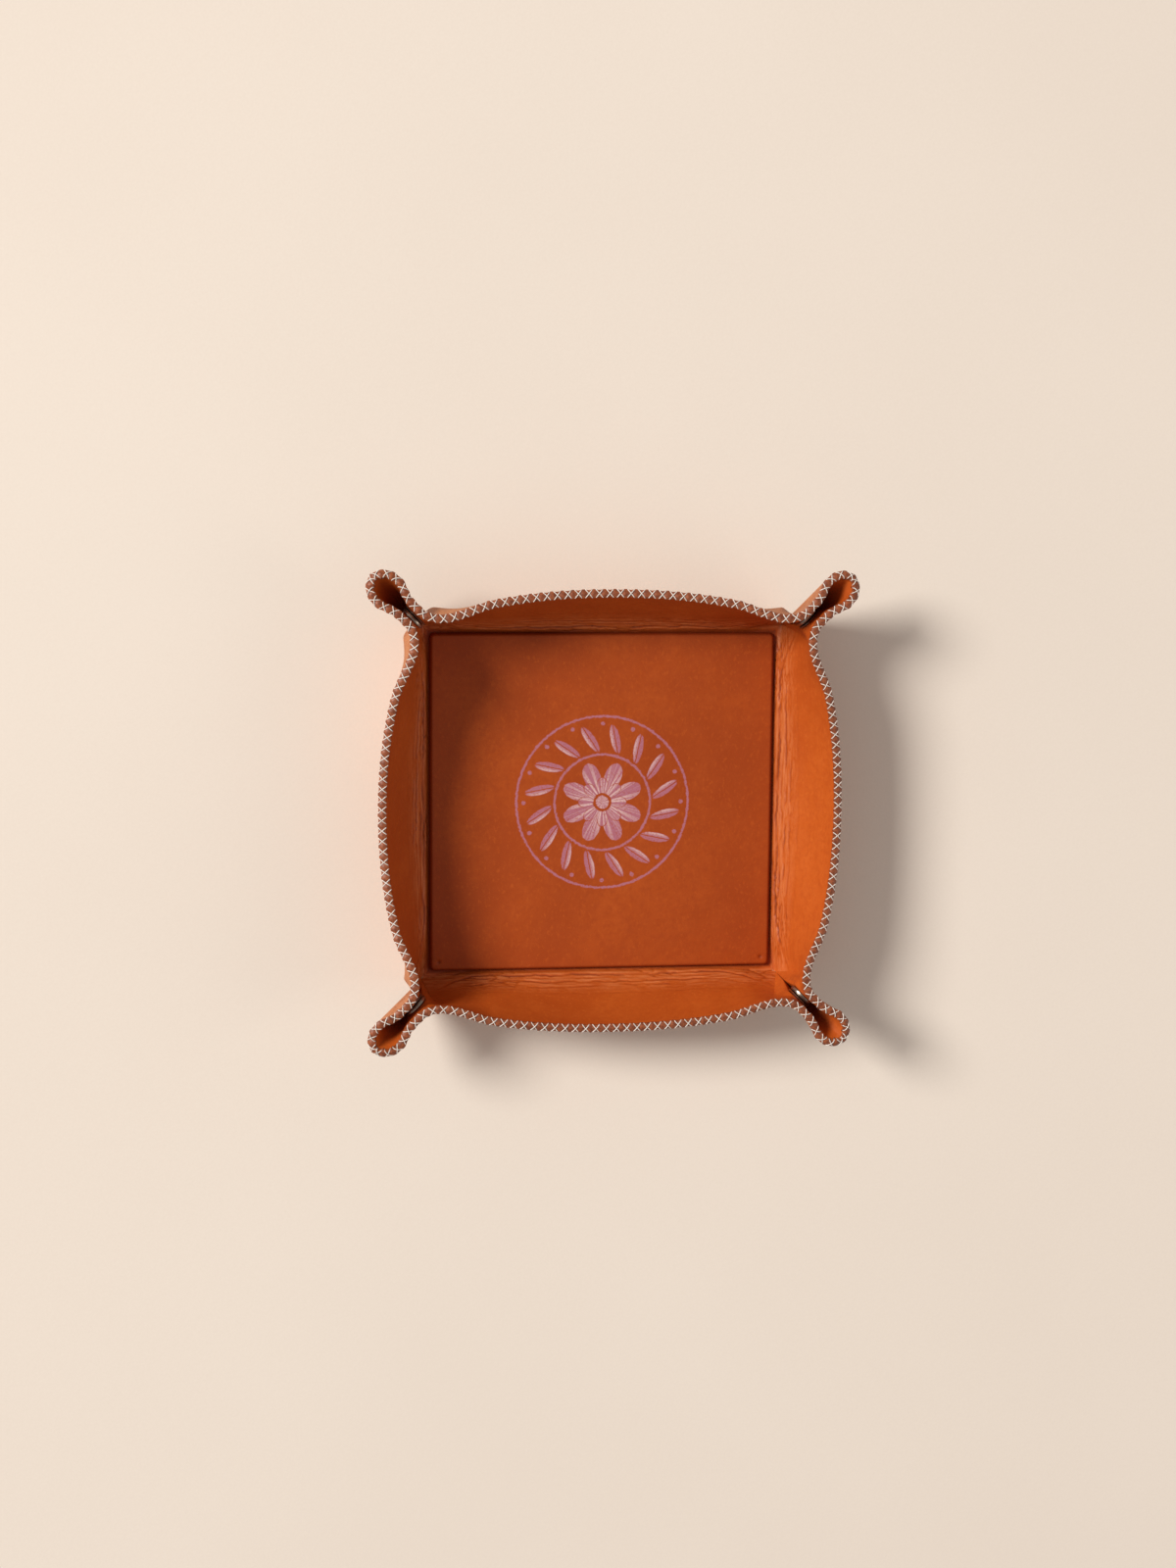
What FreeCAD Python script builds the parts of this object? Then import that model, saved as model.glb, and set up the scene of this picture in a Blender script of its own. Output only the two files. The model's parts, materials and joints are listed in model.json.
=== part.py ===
import FreeCAD, Part
import math
import os

# Leather valet tray with four snapped corners. Millimetres, +Z up, the origin is under the
# middle of the base. One square sheet of two glued leather layers is folded up round a stiff
# board. At each corner the spare leather stands out as a loop, here called an ear, whose two
# halves hang on the neighbouring walls and are held together by a press snap.

Vector = FreeCAD.Vector

# Leather sheet
leather_thickness = 1.6      # one layer: the lining inside or the backing outside
wall_height = 45.0           # leather from the fold to the cut edge
fold_clearance = 0.25        # slit at every fold between two panels

# Base
fold_width = 164.6           # left fold to right fold, on the outer face
fold_depth = 161.6           # front fold to back fold, on the outer face
board_thickness = 2.0
board_margin = 5.0           # fold to the edge of the board
panel_round = 1.2            # rounded shoulder where the lining goes over the board
miter_angle = 25.0           # tilt of the slit between the base and a wall
knuckle_radius = 4.4         # gathered leather at each corner of the base
knuckle_clearance = 0.3      # between the gathered leather and the panels that turn round it

# Walls
side_wall_reach = 21.2       # left and right walls: rim beyond the fold, at the middle
end_wall_reach = 17.9        # front and back walls: rim beyond the fold, at the middle
wall_curl = 28.0             # how much steeper a wall is at the rim than at the fold, in degrees
heel_angle = 42.0            # slope under a wall's foot, so that it clears the table when it opens
foot_overrun = 4.0           # extra leather below the fold that the miter cuts away

# Corner ears
throat_reach = 2.0           # where the walls' rims come together, out from the corner
throat_gap = 4.0             # between the two lining faces at the throat
ear_reach = 34.5             # outer tip of the ear, out from the corner
ear_tip_drop = 2.5           # outer tip of the ear, below the height of the wall
neck_reach = 15.0            # end of the narrow neck that holds the snap
neck_gap = 5.2               # between the lining faces at the end of the neck
loop_reach = 24.0            # widest place of the loop, out from the corner
loop_gap = 8.8               # between the lining faces at the widest place
ear_root = 5.6               # where the leather of the ear starts, from the corner point
root_gap = 2.4               # between the lining faces where the ear starts

# Press snaps
snap_reach = 7.5             # axis of the snap, out from the corner
snap_drop = 12.0             # axis of the snap, below the rim at the throat
snap_diameter = 11.4
snap_parting = 0.2           # between the stud's flange and the socket
snap_lip = 1.0               # rounded edge of the snap's pieces
snap_clearance = 0.1         # between a snap piece and the leather that it is pressed into
stud_flange = 0.8
stud_diameter = 4.0
stud_rise = 1.4
stud_clearance = 0.45        # round the stud in its socket
socket_back = 0.6            # floor of the socket, behind the stud
barrel_diameter = 2.6        # post and cap barrels, through the lining
head_diameter = 8.4          # flat heads of the post and the cap, hidden between the two layers
head_thickness = 0.7

# Edge stitching
stitch_pitch = 4.65
thread_width = 0.8
thread_height = 0.45
thread_seat = 0.35           # between the thread and the cut edge
thread_margin_share = 0.1    # of the edge's width, left bare at each end of a thread
stud_waist_share = 0.85      # of the stud's radius, at its foot

# Outlines, as shares of the length that they follow
wall_shares = (0.0, 0.25, 0.5, 0.72, 0.88, 1.0)
ear_shares = (0.0, 0.2, 0.38, 0.44, 0.5, 0.56, 0.64, 0.7, 0.76, 0.82, 0.88, 0.94, 1.0)
loop_share = 0.64            # of the ear's stations, where the round end of the loop starts

sheet = 2 * leather_thickness
throat_height = math.sqrt(wall_height ** 2 - throat_reach ** 2 - (throat_gap / 2) ** 2)
ear_tip_height = wall_height - ear_tip_drop
snap_height = throat_height - snap_drop


class Wall:
    """A side of the tray: its own frame has along the fold, out from the fold, and up."""

    def __init__(self, name, turn, half_length, offset, reach):
        angle = math.radians(turn)
        self.name = name
        self.along = Vector(math.cos(angle), math.sin(angle), 0)
        self.out = Vector(math.sin(angle), -math.cos(angle), 0)
        self.half_length = half_length
        self.offset = offset
        self.reach = reach

    def place(self, point, end):
        """Moves a point given from a corner of this wall (end 1 or -1) to the tray's frame."""
        along = self.along * (end * (self.half_length + point.x))
        return along + self.out * (self.offset + point.y) + Vector(0, 0, point.z)

    def turn(self, direction, end):
        return self.along * (end * direction.x) + self.out * direction.y + Vector(0, 0, direction.z)


walls = [
    Wall("front", 0, fold_width / 2, fold_depth / 2, end_wall_reach),
    Wall("right", 90, fold_depth / 2, fold_width / 2, side_wall_reach),
    Wall("back", 180, fold_width / 2, fold_depth / 2, end_wall_reach),
    Wall("left", 270, fold_depth / 2, fold_width / 2, side_wall_reach),
]


def unit(vector):
    return Vector(vector).normalize()


def corner_point(reach, side, height):
    """A point at a corner: out along the diagonal, sideways from it, and up."""
    return Vector((reach - side) / math.sqrt(2), (reach + side) / math.sqrt(2), height)


def smooth_step(value):
    value = min(max(value, 0.0), 1.0)
    return value * value * (3 - 2 * value)


def positive(shape):
    """The solid with its faces pointing outwards."""
    solid = Part.Solid(shape.Shells[0])
    if solid.Volume < 0:
        solid.reverse()
    return solid


def largest(shape):
    """The main solid of a cut, without its offcuts."""
    return max(shape.Solids, key=lambda solid: solid.Volume)


crease_tangent = unit(corner_point(1, 0, 0))
crease_line = unit(corner_point(throat_reach, throat_gap / 2, throat_height))
crease_normal = unit(crease_line.cross(crease_tangent))
tip_line = unit(corner_point(ear_reach, 0, ear_tip_height))
tip_normal = unit(tip_line.cross(corner_point(0, -1, 0)))


# Walls

def wall_poles(wall, share, depth):
    """Start, control and end point of a wall's section, from its corner, at a depth from outside."""
    if share == 1:
        start = crease_normal * (sheet - depth)
        end = crease_line * wall_height + start
        return [start, (start + end) / 2, end]
    rise = 1 - share ** 2
    half_curl = math.radians(wall_curl) * rise / 2
    chord = wall_height * math.sin(half_curl) / half_curl
    throat_out = (crease_line * wall_height + crease_normal * sheet).y
    reach = throat_out + (wall.reach - throat_out) * rise
    height = math.sqrt(chord ** 2 - reach ** 2)
    foot = Vector((share - 1) * wall.half_length, 0, 0)
    tangent = Vector(wall.half_length, -2 * share * (wall.reach - throat_out), 0)
    rule = unit(Vector(0, reach, height))
    inward = unit(tangent.cross(rule))
    foot_along = rule * math.cos(half_curl) - inward * math.sin(half_curl)
    foot_in = rule * math.sin(half_curl) + inward * math.cos(half_curl)
    rim_along = rule * math.cos(half_curl) + inward * math.sin(half_curl)
    rim_in = inward * math.cos(half_curl) - rule * math.sin(half_curl)
    start = foot + foot_in * depth - foot_along * foot_overrun
    end = foot + rule * chord + rim_in * depth
    control = end - rim_along * ((chord / 2 - depth * math.sin(half_curl)) / math.cos(half_curl))
    return [start, control, end]


def wall_section(wall, share, end, outer_depth, inner_depth):
    outer = [wall.place(pole, end) for pole in wall_poles(wall, share, outer_depth)]
    inner = [wall.place(pole, end) for pole in wall_poles(wall, share, inner_depth)]
    outer_curve = Part.BezierCurve()
    outer_curve.setPoles(outer)
    inner_curve = Part.BezierCurve()
    inner_curve.setPoles(inner[::-1])
    rim = Part.makeLine(outer[2], inner[2])
    foot = Part.makeLine(inner[0], outer[0])
    return Part.Wire([outer_curve.toShape(), rim, inner_curve.toShape(), foot])


def miter_cut(wall):
    """What a wall leaves free for the base, and for the table when it opens: a bar along the fold."""
    miter = math.radians(miter_angle)
    heel = math.radians(heel_angle)
    size = wall_height / 2
    outline = [(0, 0), (size * math.cos(heel), size * math.sin(heel)), (size, -size), (-size, -size),
               (-size, size), (-size * math.sin(miter), size * math.cos(miter))]
    length = wall.half_length + ear_reach
    points = [wall.place(Vector(length - wall.half_length, out, up), -1) for out, up in outline]
    face = Part.Face(Part.makePolygon(points + points[:1]))
    return face.extrude(wall.along * (2 * length))


def wall_layer(wall, outer_depth, inner_depth):
    left = [wall_section(wall, share, -1, outer_depth, inner_depth) for share in wall_shares[:0:-1]]
    right = [wall_section(wall, share, 1, outer_depth, inner_depth) for share in wall_shares]
    leather = positive(Part.makeLoft(left + right, True, False))
    return largest(leather.cut([miter_cut(wall)] + knuckles(knuckle_clearance)))


# Ears

def ear_plan(share):
    """The lining's face at the cut edge: out along the diagonal, and sideways from it."""
    inner_tip = ear_reach - (tip_normal * sheet).dot(corner_point(1, 0, 0))
    if share > loop_share:
        angle = math.pi / 2 * (share - loop_share) / (1 - loop_share)
        return (loop_reach + (inner_tip - loop_reach) * math.sin(angle), loop_gap / 2 * math.cos(angle))
    reach = throat_reach + (loop_reach - throat_reach) * share / loop_share
    neck = (reach - throat_reach) / (neck_reach - throat_reach)
    narrow = throat_gap / 2 + (neck_gap - throat_gap) / 2 * min(neck, 1.0)
    widen = smooth_step((reach - neck_reach) / (loop_reach - neck_reach))
    return (reach, narrow + (loop_gap - neck_gap) / 2 * widen)


def ear_rim(share):
    reach, side = ear_plan(share)
    inner_tip_height = ear_tip_height - (tip_normal * sheet).z
    return corner_point(reach, side, throat_height + (inner_tip_height - throat_height) * share)


def ear_foot(share):
    """Where the lining's face starts beside the knuckle, on a short curve from the crease to the tip."""
    start = crease_line * ear_root
    end = tip_line * ear_root - tip_normal * sheet
    bend = (start + end) / 2 + corner_point(0, root_gap / 2, 0)
    return start * (1 - share) ** 2 + bend * (2 * share * (1 - share)) + end * share ** 2


def ear_frame(share):
    """Foot and rim of the lining's face at one station of an ear, and the way out of the leather."""
    turn = math.pi / 2 * max(share - loop_share, 0) / (1 - loop_share)
    normal = unit(crease_normal * math.cos(turn) + tip_normal * math.sin(turn))
    slit = crease_tangent * (fold_clearance * (1 - share)) + corner_point(0, fold_clearance / 2 * share, 0)
    return ear_foot(share) + slit, ear_rim(share) + slit, normal


def ear_section(wall, end, share, outer_depth, inner_depth):
    foot, rim, normal = ear_frame(share)
    outside = normal * (sheet - outer_depth)
    inside = normal * (sheet - inner_depth)
    corners = [foot + outside, rim + outside, rim + inside, foot + inside, foot + outside]
    return Part.makePolygon([wall.place(corner, end) for corner in corners])


def ear_layer(wall, end, outer_depth, inner_depth):
    sections = [ear_section(wall, end, share, outer_depth, inner_depth) for share in ear_shares]
    leather = positive(Part.makeLoft(sections, True, True))
    return largest(leather.cut(snap_solid(wall, end, snap_room())))


def ear_edge(wall, end, depth):
    """The cut edge of an ear at a depth from outside, from its throat to its tip."""
    points = []
    for share in ear_shares:
        _, rim, normal = ear_frame(share)
        points.append(wall.place(rim + normal * (sheet - depth), end))
    return Part.makePolygon(points)


# Press snaps, drawn as half profiles round the axis: distance from the axis, and distance
# from the diagonal plane on the side of the half-ear that carries the piece

def snap_solid(wall, end, profile):
    centre = wall.place(corner_point(snap_reach, 0, snap_height), end)
    axis = wall.turn(unit(corner_point(0, 1, 0)), end)
    up = Vector(0, 0, 1)
    points = [centre + up * radius + axis * depth for radius, depth in profile]
    face = Part.Face(Part.makePolygon(points + points[:1]))
    return positive(face.revolve(centre, axis, 360))


# The leather is squeezed flat under the snap: the lining's two faces at its axis
rim_reach = snap_reach * throat_height / snap_height
rim_share = loop_share * (rim_reach - throat_reach) / (loop_reach - throat_reach)
lining_face = ear_plan(rim_share)[1] * snap_height / throat_height
layer_face = lining_face + leather_thickness
snap_radius = snap_diameter / 2
barrel_radius = barrel_diameter / 2
head_radius = head_diameter / 2
head_seat = layer_face - snap_clearance - head_thickness


def snap_room():
    """The squeezed seat on the lining, the hole through it, and the hollow for the hidden head."""
    seat = snap_radius + snap_clearance
    hole = barrel_radius + snap_clearance
    hollow = head_radius + snap_clearance
    floor = head_seat - snap_clearance
    return [(0, 0), (seat, 0), (seat, lining_face), (hole, lining_face), (hole, floor),
            (hollow, floor), (hollow, layer_face), (0, layer_face)]


def snap_head():
    """The flat head of a post or a cap, under the backing, with its barrel through the lining."""
    top = head_seat + head_thickness
    barrel_end = lining_face + snap_clearance
    return [(0, top), (head_radius, top), (head_radius, head_seat), (barrel_radius, head_seat),
            (barrel_radius, barrel_end), (0, barrel_end)]


def snap_socket():
    """A cup that faces the stud, with its floor on the lining."""
    seat = lining_face - snap_clearance
    front = stud_flange + snap_clearance + snap_parting - lining_face
    bore = stud_diameter / 2 + stud_clearance
    return [(bore, front), (snap_radius - snap_lip, front), (snap_radius, front + snap_lip / 2),
            (snap_radius, seat), (0, seat), (0, seat - socket_back), (bore, seat - socket_back)]


def snap_stud():
    """A flange on the lining with a rounded knob that clicks into the socket."""
    seat = lining_face - snap_clearance
    front = seat - stud_flange
    crown = front - stud_rise
    knob = stud_diameter / 2
    return [(0, crown), (knob / 2, crown), (knob, crown + knob / 4), (knob * stud_waist_share, front),
            (snap_radius - snap_lip / 2, front), (snap_radius, front + stud_flange / 2),
            (snap_radius, seat), (0, seat)]


# Base

def slit_inset(height):
    angle = math.radians(miter_angle)
    return fold_clearance / math.cos(angle) + height * math.tan(angle)


def rectangle(inset, height):
    x = fold_width / 2 - inset
    y = fold_depth / 2 - inset
    corners = [Vector(-x, -y, height), Vector(x, -y, height), Vector(x, y, height), Vector(-x, y, height)]
    return Part.makePolygon(corners + corners[:1])


def slab(bottom, top, bottom_inset, top_inset):
    return Part.makeLoft([rectangle(bottom_inset, bottom), rectangle(top_inset, top)], True, True)


def knuckles(clearance):
    """A rounded knob of gathered leather at each corner of the base, on the table's side cut flat."""
    knobs = []
    for end_x in (-1, 1):
        for end_y in (-1, 1):
            centre = Vector(end_x * fold_width / 2, end_y * fold_depth / 2, 0)
            knobs.append(Part.makeSphere(knuckle_radius + clearance, centre, Vector(0, 0, 1), 0, 90))
    return knobs


def base_backing():
    plate = slab(0, leather_thickness, slit_inset(0), slit_inset(leather_thickness))
    return plate.fuse(knuckles(0)).removeSplitter()


def base_board():
    top = leather_thickness + board_thickness
    return slab(leather_thickness, top, board_margin, board_margin)


def base_lining():
    top = leather_thickness + board_thickness + leather_thickness
    shoulder = board_margin - leather_thickness
    panel = slab(leather_thickness, top, shoulder, shoulder)
    panel = panel.makeFillet(panel_round, [edge for edge in panel.Edges if edge.BoundBox.ZMin > sheet])
    ledge = slab(leather_thickness, sheet, slit_inset(leather_thickness), slit_inset(sheet))
    return panel.fuse(ledge).removeSplitter().cut(base_board()).cut(Part.makeCompound(knuckles(0)))


# Edge stitching: one cross for every step along the cut edge, its two threads one above the other

def thread_bar(start, end, up, lift):
    along = unit(end - start)
    side = unit(up.cross(along))
    top = unit(along.cross(side))
    corner = start + top * lift - side * (thread_width / 2)
    bar = Part.makeBox((end - start).Length, thread_width, thread_height)
    bar.Placement = FreeCAD.Placement(corner, FreeCAD.Rotation(along, side, top, "XYZ"))
    return bar


def edge_points(edge, start, count):
    """Points at even steps along an edge, from the end where the start is."""
    points = edge.discretize(Number=count)
    if (points[0] - start).Length > (points[-1] - start).Length:
        points.reverse()
    return points


def stitching(outer_edge, inner_edge, outer_start, inner_start):
    """Crosses along the cut edge, between the outer edge of the backing and the inner edge of the lining."""
    count = round(max(outer_edge.Length, inner_edge.Length) / stitch_pitch)
    outer = edge_points(outer_edge, outer_start, count + 1)
    inner = edge_points(inner_edge, inner_start, count + 1)
    bars = []
    for before, after, inner_before, inner_after in zip(outer, outer[1:], inner, inner[1:]):
        across = (before + after - inner_before - inner_after) / 2
        margin = across * thread_margin_share
        trim = thread_width / 2
        outer_step = unit(after - before) * trim
        inner_step = unit(inner_after - inner_before) * trim
        up = unit((after - before).cross(across))
        if up.z < 0:
            up = up * -1
        lower = inner_before + inner_step + margin, after - outer_step - margin
        upper = before + outer_step - margin, inner_after - inner_step + margin
        twist = (before + inner_after - after - inner_before).dot(up) / 4
        bars.append(thread_bar(*lower, up, thread_seat + max(twist, 0)))
        bars.append(thread_bar(*upper, up, thread_seat + thread_height + max(-2 * twist, 0)))
    return Part.makeCompound(bars)


def edge_between(layer, start, end):
    """The layer's edge that runs between two points."""
    def miss(edge):
        first = edge.firstVertex().Point
        last = edge.lastVertex().Point
        same = (first - start).Length + (last - end).Length
        swapped = (first - end).Length + (last - start).Length
        return min(same, swapped)
    return min(layer.Edges, key=miss)


def wall_sheet(wall):
    """Backing, lining and stitching of one wall."""
    backing = wall_layer(wall, 0, leather_thickness)
    lining = wall_layer(wall, leather_thickness, sheet)
    outer_ends = [wall.place(wall_poles(wall, 1, 0)[2], end) for end in (-1, 1)]
    inner_ends = [wall.place(wall_poles(wall, 1, sheet)[2], end) for end in (-1, 1)]
    outer_edge = edge_between(backing, *outer_ends)
    inner_edge = edge_between(lining, *inner_ends)
    threads = stitching(outer_edge, inner_edge, outer_ends[0], inner_ends[0])
    return backing, lining, threads


def ear_sheet(wall, end):
    """Backing, lining and stitching of one half-ear."""
    backing = ear_layer(wall, end, 0, leather_thickness)
    lining = ear_layer(wall, end, leather_thickness, sheet)
    outer_edge = ear_edge(wall, end, 0)
    inner_edge = ear_edge(wall, end, sheet)
    starts = outer_edge.Vertexes[0].Point, inner_edge.Vertexes[0].Point
    return backing, lining, stitching(outer_edge, inner_edge, *starts)


# Write one file for each piece

def save(name, shape):
    shape.exportStep(os.path.join("parts", name + ".step"))
    print(name, "solids", len(shape.Solids), "volume", round(shape.Volume, 1), "valid", shape.isValid())


def save_sheet(kind, place, backing, lining, threads):
    save(kind + "_backing_" + place, backing)
    save(kind + "_lining_" + place, lining)
    save(kind + "_stitching_" + place, threads)


os.makedirs("parts", exist_ok=True)
save("base_backing", base_backing())
save("base_board", base_board())
save("base_lining", base_lining())
for index, wall in enumerate(walls):
    following = walls[(index + 1) % len(walls)]
    before = walls[index - 1]
    save_sheet("wall", wall.name, *wall_sheet(wall))
    for end, neighbour in ((1, following), (-1, before)):
        save_sheet("ear", wall.name + "_to_" + neighbour.name, *ear_sheet(wall, end))
    corner = wall.name + "_" + following.name
    save("snap_stud_" + corner, snap_solid(wall, 1, snap_stud()))
    save("snap_post_" + corner, snap_solid(wall, 1, snap_head()))
    save("snap_socket_" + corner, snap_solid(following, -1, snap_socket()))
    save("snap_cap_" + corner, snap_solid(following, -1, snap_head()))
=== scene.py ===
import bisect
import json
import math

import bmesh
import bpy
from mathutils import Matrix, Vector, noise


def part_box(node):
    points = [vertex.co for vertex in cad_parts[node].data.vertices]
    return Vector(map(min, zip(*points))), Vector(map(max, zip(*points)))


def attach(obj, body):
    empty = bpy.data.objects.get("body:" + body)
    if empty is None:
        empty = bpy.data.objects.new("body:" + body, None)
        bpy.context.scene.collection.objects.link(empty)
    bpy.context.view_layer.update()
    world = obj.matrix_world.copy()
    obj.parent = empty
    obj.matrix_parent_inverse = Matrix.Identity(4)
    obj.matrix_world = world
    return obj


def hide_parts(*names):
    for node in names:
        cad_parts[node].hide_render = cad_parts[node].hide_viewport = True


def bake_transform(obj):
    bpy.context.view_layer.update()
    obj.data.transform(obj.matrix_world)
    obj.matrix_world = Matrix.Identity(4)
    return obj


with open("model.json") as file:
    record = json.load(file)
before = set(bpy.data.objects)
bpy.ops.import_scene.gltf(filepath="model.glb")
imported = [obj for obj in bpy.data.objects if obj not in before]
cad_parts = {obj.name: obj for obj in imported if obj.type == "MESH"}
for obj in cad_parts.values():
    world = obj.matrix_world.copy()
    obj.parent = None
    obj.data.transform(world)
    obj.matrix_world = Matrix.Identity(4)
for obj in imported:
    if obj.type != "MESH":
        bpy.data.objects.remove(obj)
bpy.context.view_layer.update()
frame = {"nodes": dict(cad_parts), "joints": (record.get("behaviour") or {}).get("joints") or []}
print("frame loaded,", len(frame["nodes"]), "nodes")

mm = 0.001
joints = {joint["name"]: joint for joint in frame["joints"]}
halfWidth = abs(joints["fold_right"]["pos_m"][0])    # middle of the tray to the left and right folds
halfDepth = abs(joints["fold_front"]["pos_m"][1])    # middle of the tray to the front and back folds
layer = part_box("base_lining")[0].z                   # one layer of leather
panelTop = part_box("base_lining")[1].z                # top of the stiff panel
sheetThick = 2 * layer


# how the leather is cut and folded, as in the frame
sheet = {
    "height": 45 * mm,          # fold to cut edge
    "sideReach": 21.2 * mm,     # rim beyond the fold in the middle of a wall
    "endReach": 17.9 * mm,
    "curl": math.radians(28),   # a wall is this much steeper at its rim than at its fold
}


def smoothStep(value):
    value = min(max(value, 0.0), 1.0)
    return value * value * (3 - 2 * value)


def mixed(low, high, share):
    return low + (high - low) * share


def cornerPoint(reach, side, height):    # out along the diagonal, sideways from it, up
    return Vector(((reach - side) / math.sqrt(2), (reach + side) / math.sqrt(2), height))


def reachOf(point):    # the other way: out along the diagonal
    return (point.x + point.y) / math.sqrt(2)


def sideOf(point):     # sideways from the diagonal
    return (point.y - point.x) / math.sqrt(2)


# the throat, where two walls come together, is on the line of the crease
creaseLine = Vector(joints["crease_front_to_right"]["axis"])
throatInner = Vector((creaseLine.x, -creaseLine.y, creaseLine.z)) * sheet["height"]
throatHeight = throatInner.z
throatOut = throatInner.y + sheetThick * throatHeight / sheet["height"]

# the snap at the front right corner
studLow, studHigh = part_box("snap_stud_front_right")
studMiddle = (studLow + studHigh) / 2
snapReach = reachOf(Vector((studMiddle.x - halfWidth, -studMiddle.y - halfDepth)))
snapHeight = studMiddle.z
snapRadius = (studHigh.z - studLow.z) / 2


class Side:
    def __init__(self, name, after, before, turn, half, offset, reach):
        angle = math.radians(turn)
        self.name = name
        self.body = "wall_" + name
        self.neighbour = {1: after, -1: before}
        self.along = Vector((math.cos(angle), math.sin(angle), 0))
        self.out = Vector((math.sin(angle), -math.cos(angle), 0))
        self.half = half
        self.offset = offset
        self.reach = reach

    def place(self, point, end):    # from a corner of this side to the tray
        along = self.along * (end * (self.half + point.x))
        return along + self.out * (self.offset + point.y) + Vector((0, 0, point.z))

    def turned(self, way, end):
        return self.along * (end * way.x) + self.out * way.y + Vector((0, 0, way.z))

    def ear(self, end):
        return self.name + "_to_" + self.neighbour[end]


sides = [
    Side("front", "right", "left", 0, halfWidth, halfDepth, sheet["endReach"]),
    Side("right", "back", "front", 90, halfDepth, halfWidth, sheet["sideReach"]),
    Side("back", "left", "right", 180, halfWidth, halfDepth, sheet["endReach"]),
    Side("left", "front", "back", 270, halfDepth, halfWidth, sheet["sideReach"]),
]


# shader nodes: a wire is a socket that takes part in sums, a look is a material being wired
class Wire:
    def __init__(self, look, socket):
        self.look = look
        self.socket = socket

    def math(self, operation, *others):
        return self.look.node("ShaderNodeMath", {"operation": operation}, [self, *others])

    def __add__(self, other):
        return self.math("ADD", other)

    __radd__ = __add__

    def __sub__(self, other):
        return self.math("SUBTRACT", other)

    def __rsub__(self, other):
        return self.look.node("ShaderNodeMath", {"operation": "SUBTRACT"}, [other, self])

    def __mul__(self, other):
        return self.math("MULTIPLY", other)

    __rmul__ = __mul__

    def __truediv__(self, other):
        return self.math("DIVIDE", other)

    def __pow__(self, other):
        return self.math("POWER", other)

    def low(self, other):
        return self.math("MINIMUM", other)

    def high(self, other):
        return self.math("MAXIMUM", other)

    def ramp(self, start, end, low=0.0, high=1.0):    # smooth climb from low to high
        return self.look.node("ShaderNodeMapRange", {"interpolation_type": "SMOOTHSTEP"},
                              [self, start, end, low, high])


class Look:
    def __init__(self, name):
        self.material = bpy.data.materials.new(name)
        self.material.use_nodes = True
        self.tree = self.material.node_tree
        self.tree.nodes.clear()
        self.shader = self.tree.nodes.new("ShaderNodeBsdfPrincipled")
        output = self.tree.nodes.new("ShaderNodeOutputMaterial")
        self.tree.links.new(self.shader.outputs["BSDF"], output.inputs["Surface"])

    def fill(self, socket, value):
        if isinstance(value, Wire):
            self.tree.links.new(value.socket, socket)
        else:
            socket.default_value = value

    def node(self, kind, settings=None, inputs=(), output=0):
        made = self.tree.nodes.new(kind)
        for key, value in (settings or {}).items():
            setattr(made, key, value)
        pairs = inputs.items() if isinstance(inputs, dict) else enumerate(inputs)
        for key, value in pairs:
            self.fill(made.inputs[key], value)
        return Wire(self, made.outputs[output])

    def coords(self):
        return self.node("ShaderNodeTexCoord", output="Object")

    def noise(self, scale, detail=2.0, rough=0.5, stretch=None, warp=0.0):
        where = self.coords()
        if stretch:
            where = self.node("ShaderNodeMapping", {}, {"Vector": where, "Scale": stretch})
        values = {"Vector": where, "Scale": scale, "Detail": detail, "Roughness": rough, "Distortion": warp}
        return self.node("ShaderNodeTexNoise", {}, values)

    def cells(self, scale):
        values = {"Vector": self.coords(), "Scale": scale}
        return self.node("ShaderNodeTexVoronoi", {"feature": "F1"}, values, "Distance")

    def colour(self, share, low, high):
        return self.node("ShaderNodeMix", {"data_type": "RGBA"}, {0: share, 6: low, 7: high}, 2)

    def bump(self, height, strength, distance):
        values = {"Height": height, "Strength": strength, "Distance": distance}
        return self.node("ShaderNodeBump", {}, values)

    def finish(self, colour, roughness, normal=None, **fixed):
        self.fill(self.shader.inputs["Base Color"], colour)
        self.fill(self.shader.inputs["Roughness"], roughness)
        if normal:
            self.fill(self.shader.inputs["Normal"], normal)
        for key, value in fixed.items():
            self.shader.inputs[key.replace("_", " ")].default_value = value
        return self.material


# waxed grain leather, inside the tray
liningFinish = {
    "dark": (0.345, 0.052, 0.0045, 1),
    "tan": (0.415, 0.069, 0.0060, 1),
    "warm": (0.47, 0.087, 0.0085, 1),
    "pore": (0.16, 0.026, 0.006, 1),
    # painted shade: the colour of creases, grooves, pleats, dimples and the hollows of the loops
    "crease": (0.125, 0.015, 0.008, 1),
    "pale": (0.66, 0.215, 0.075, 1),      # where bending has drawn the wax out
    "roughness": 0.5,
}

wallFinish = liningFinish | {    # the same leather, paler on the walls: bent and stretched, and painted light that lifts the walls above the base
    "dark": (0.43, 0.074, 0.0080, 1),
    "tan": (0.51, 0.100, 0.0115, 1),
    "warm": (0.57, 0.124, 0.0165, 1),
}


def leatherColour(look, finish):
    cloud = look.noise(16, 4, 0.6, warp=0.5)
    patch = look.noise(70, 5, 0.65)
    mottle = look.noise(340, 4, 0.7)
    speck = look.noise(720, 3, 0.7, stretch=(1, 0.6, 1))
    fibre = look.noise(520, 3, 0.6, stretch=(1, 0.35, 1))
    colour = look.colour(cloud.ramp(0.34, 0.7), finish["dark"], finish["tan"])
    colour = look.colour(patch.ramp(0.44, 0.78) * 0.45, colour, finish["warm"])
    colour = look.colour(mottle.ramp(0.42, 0.68) * 0.6, colour, finish["dark"])
    colour = look.colour(speck.ramp(0.52, 0.72) * 0.6, colour, finish["warm"])
    return look.colour(fibre.ramp(0.54, 0.8) * 0.4, colour, finish["dark"])
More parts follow.
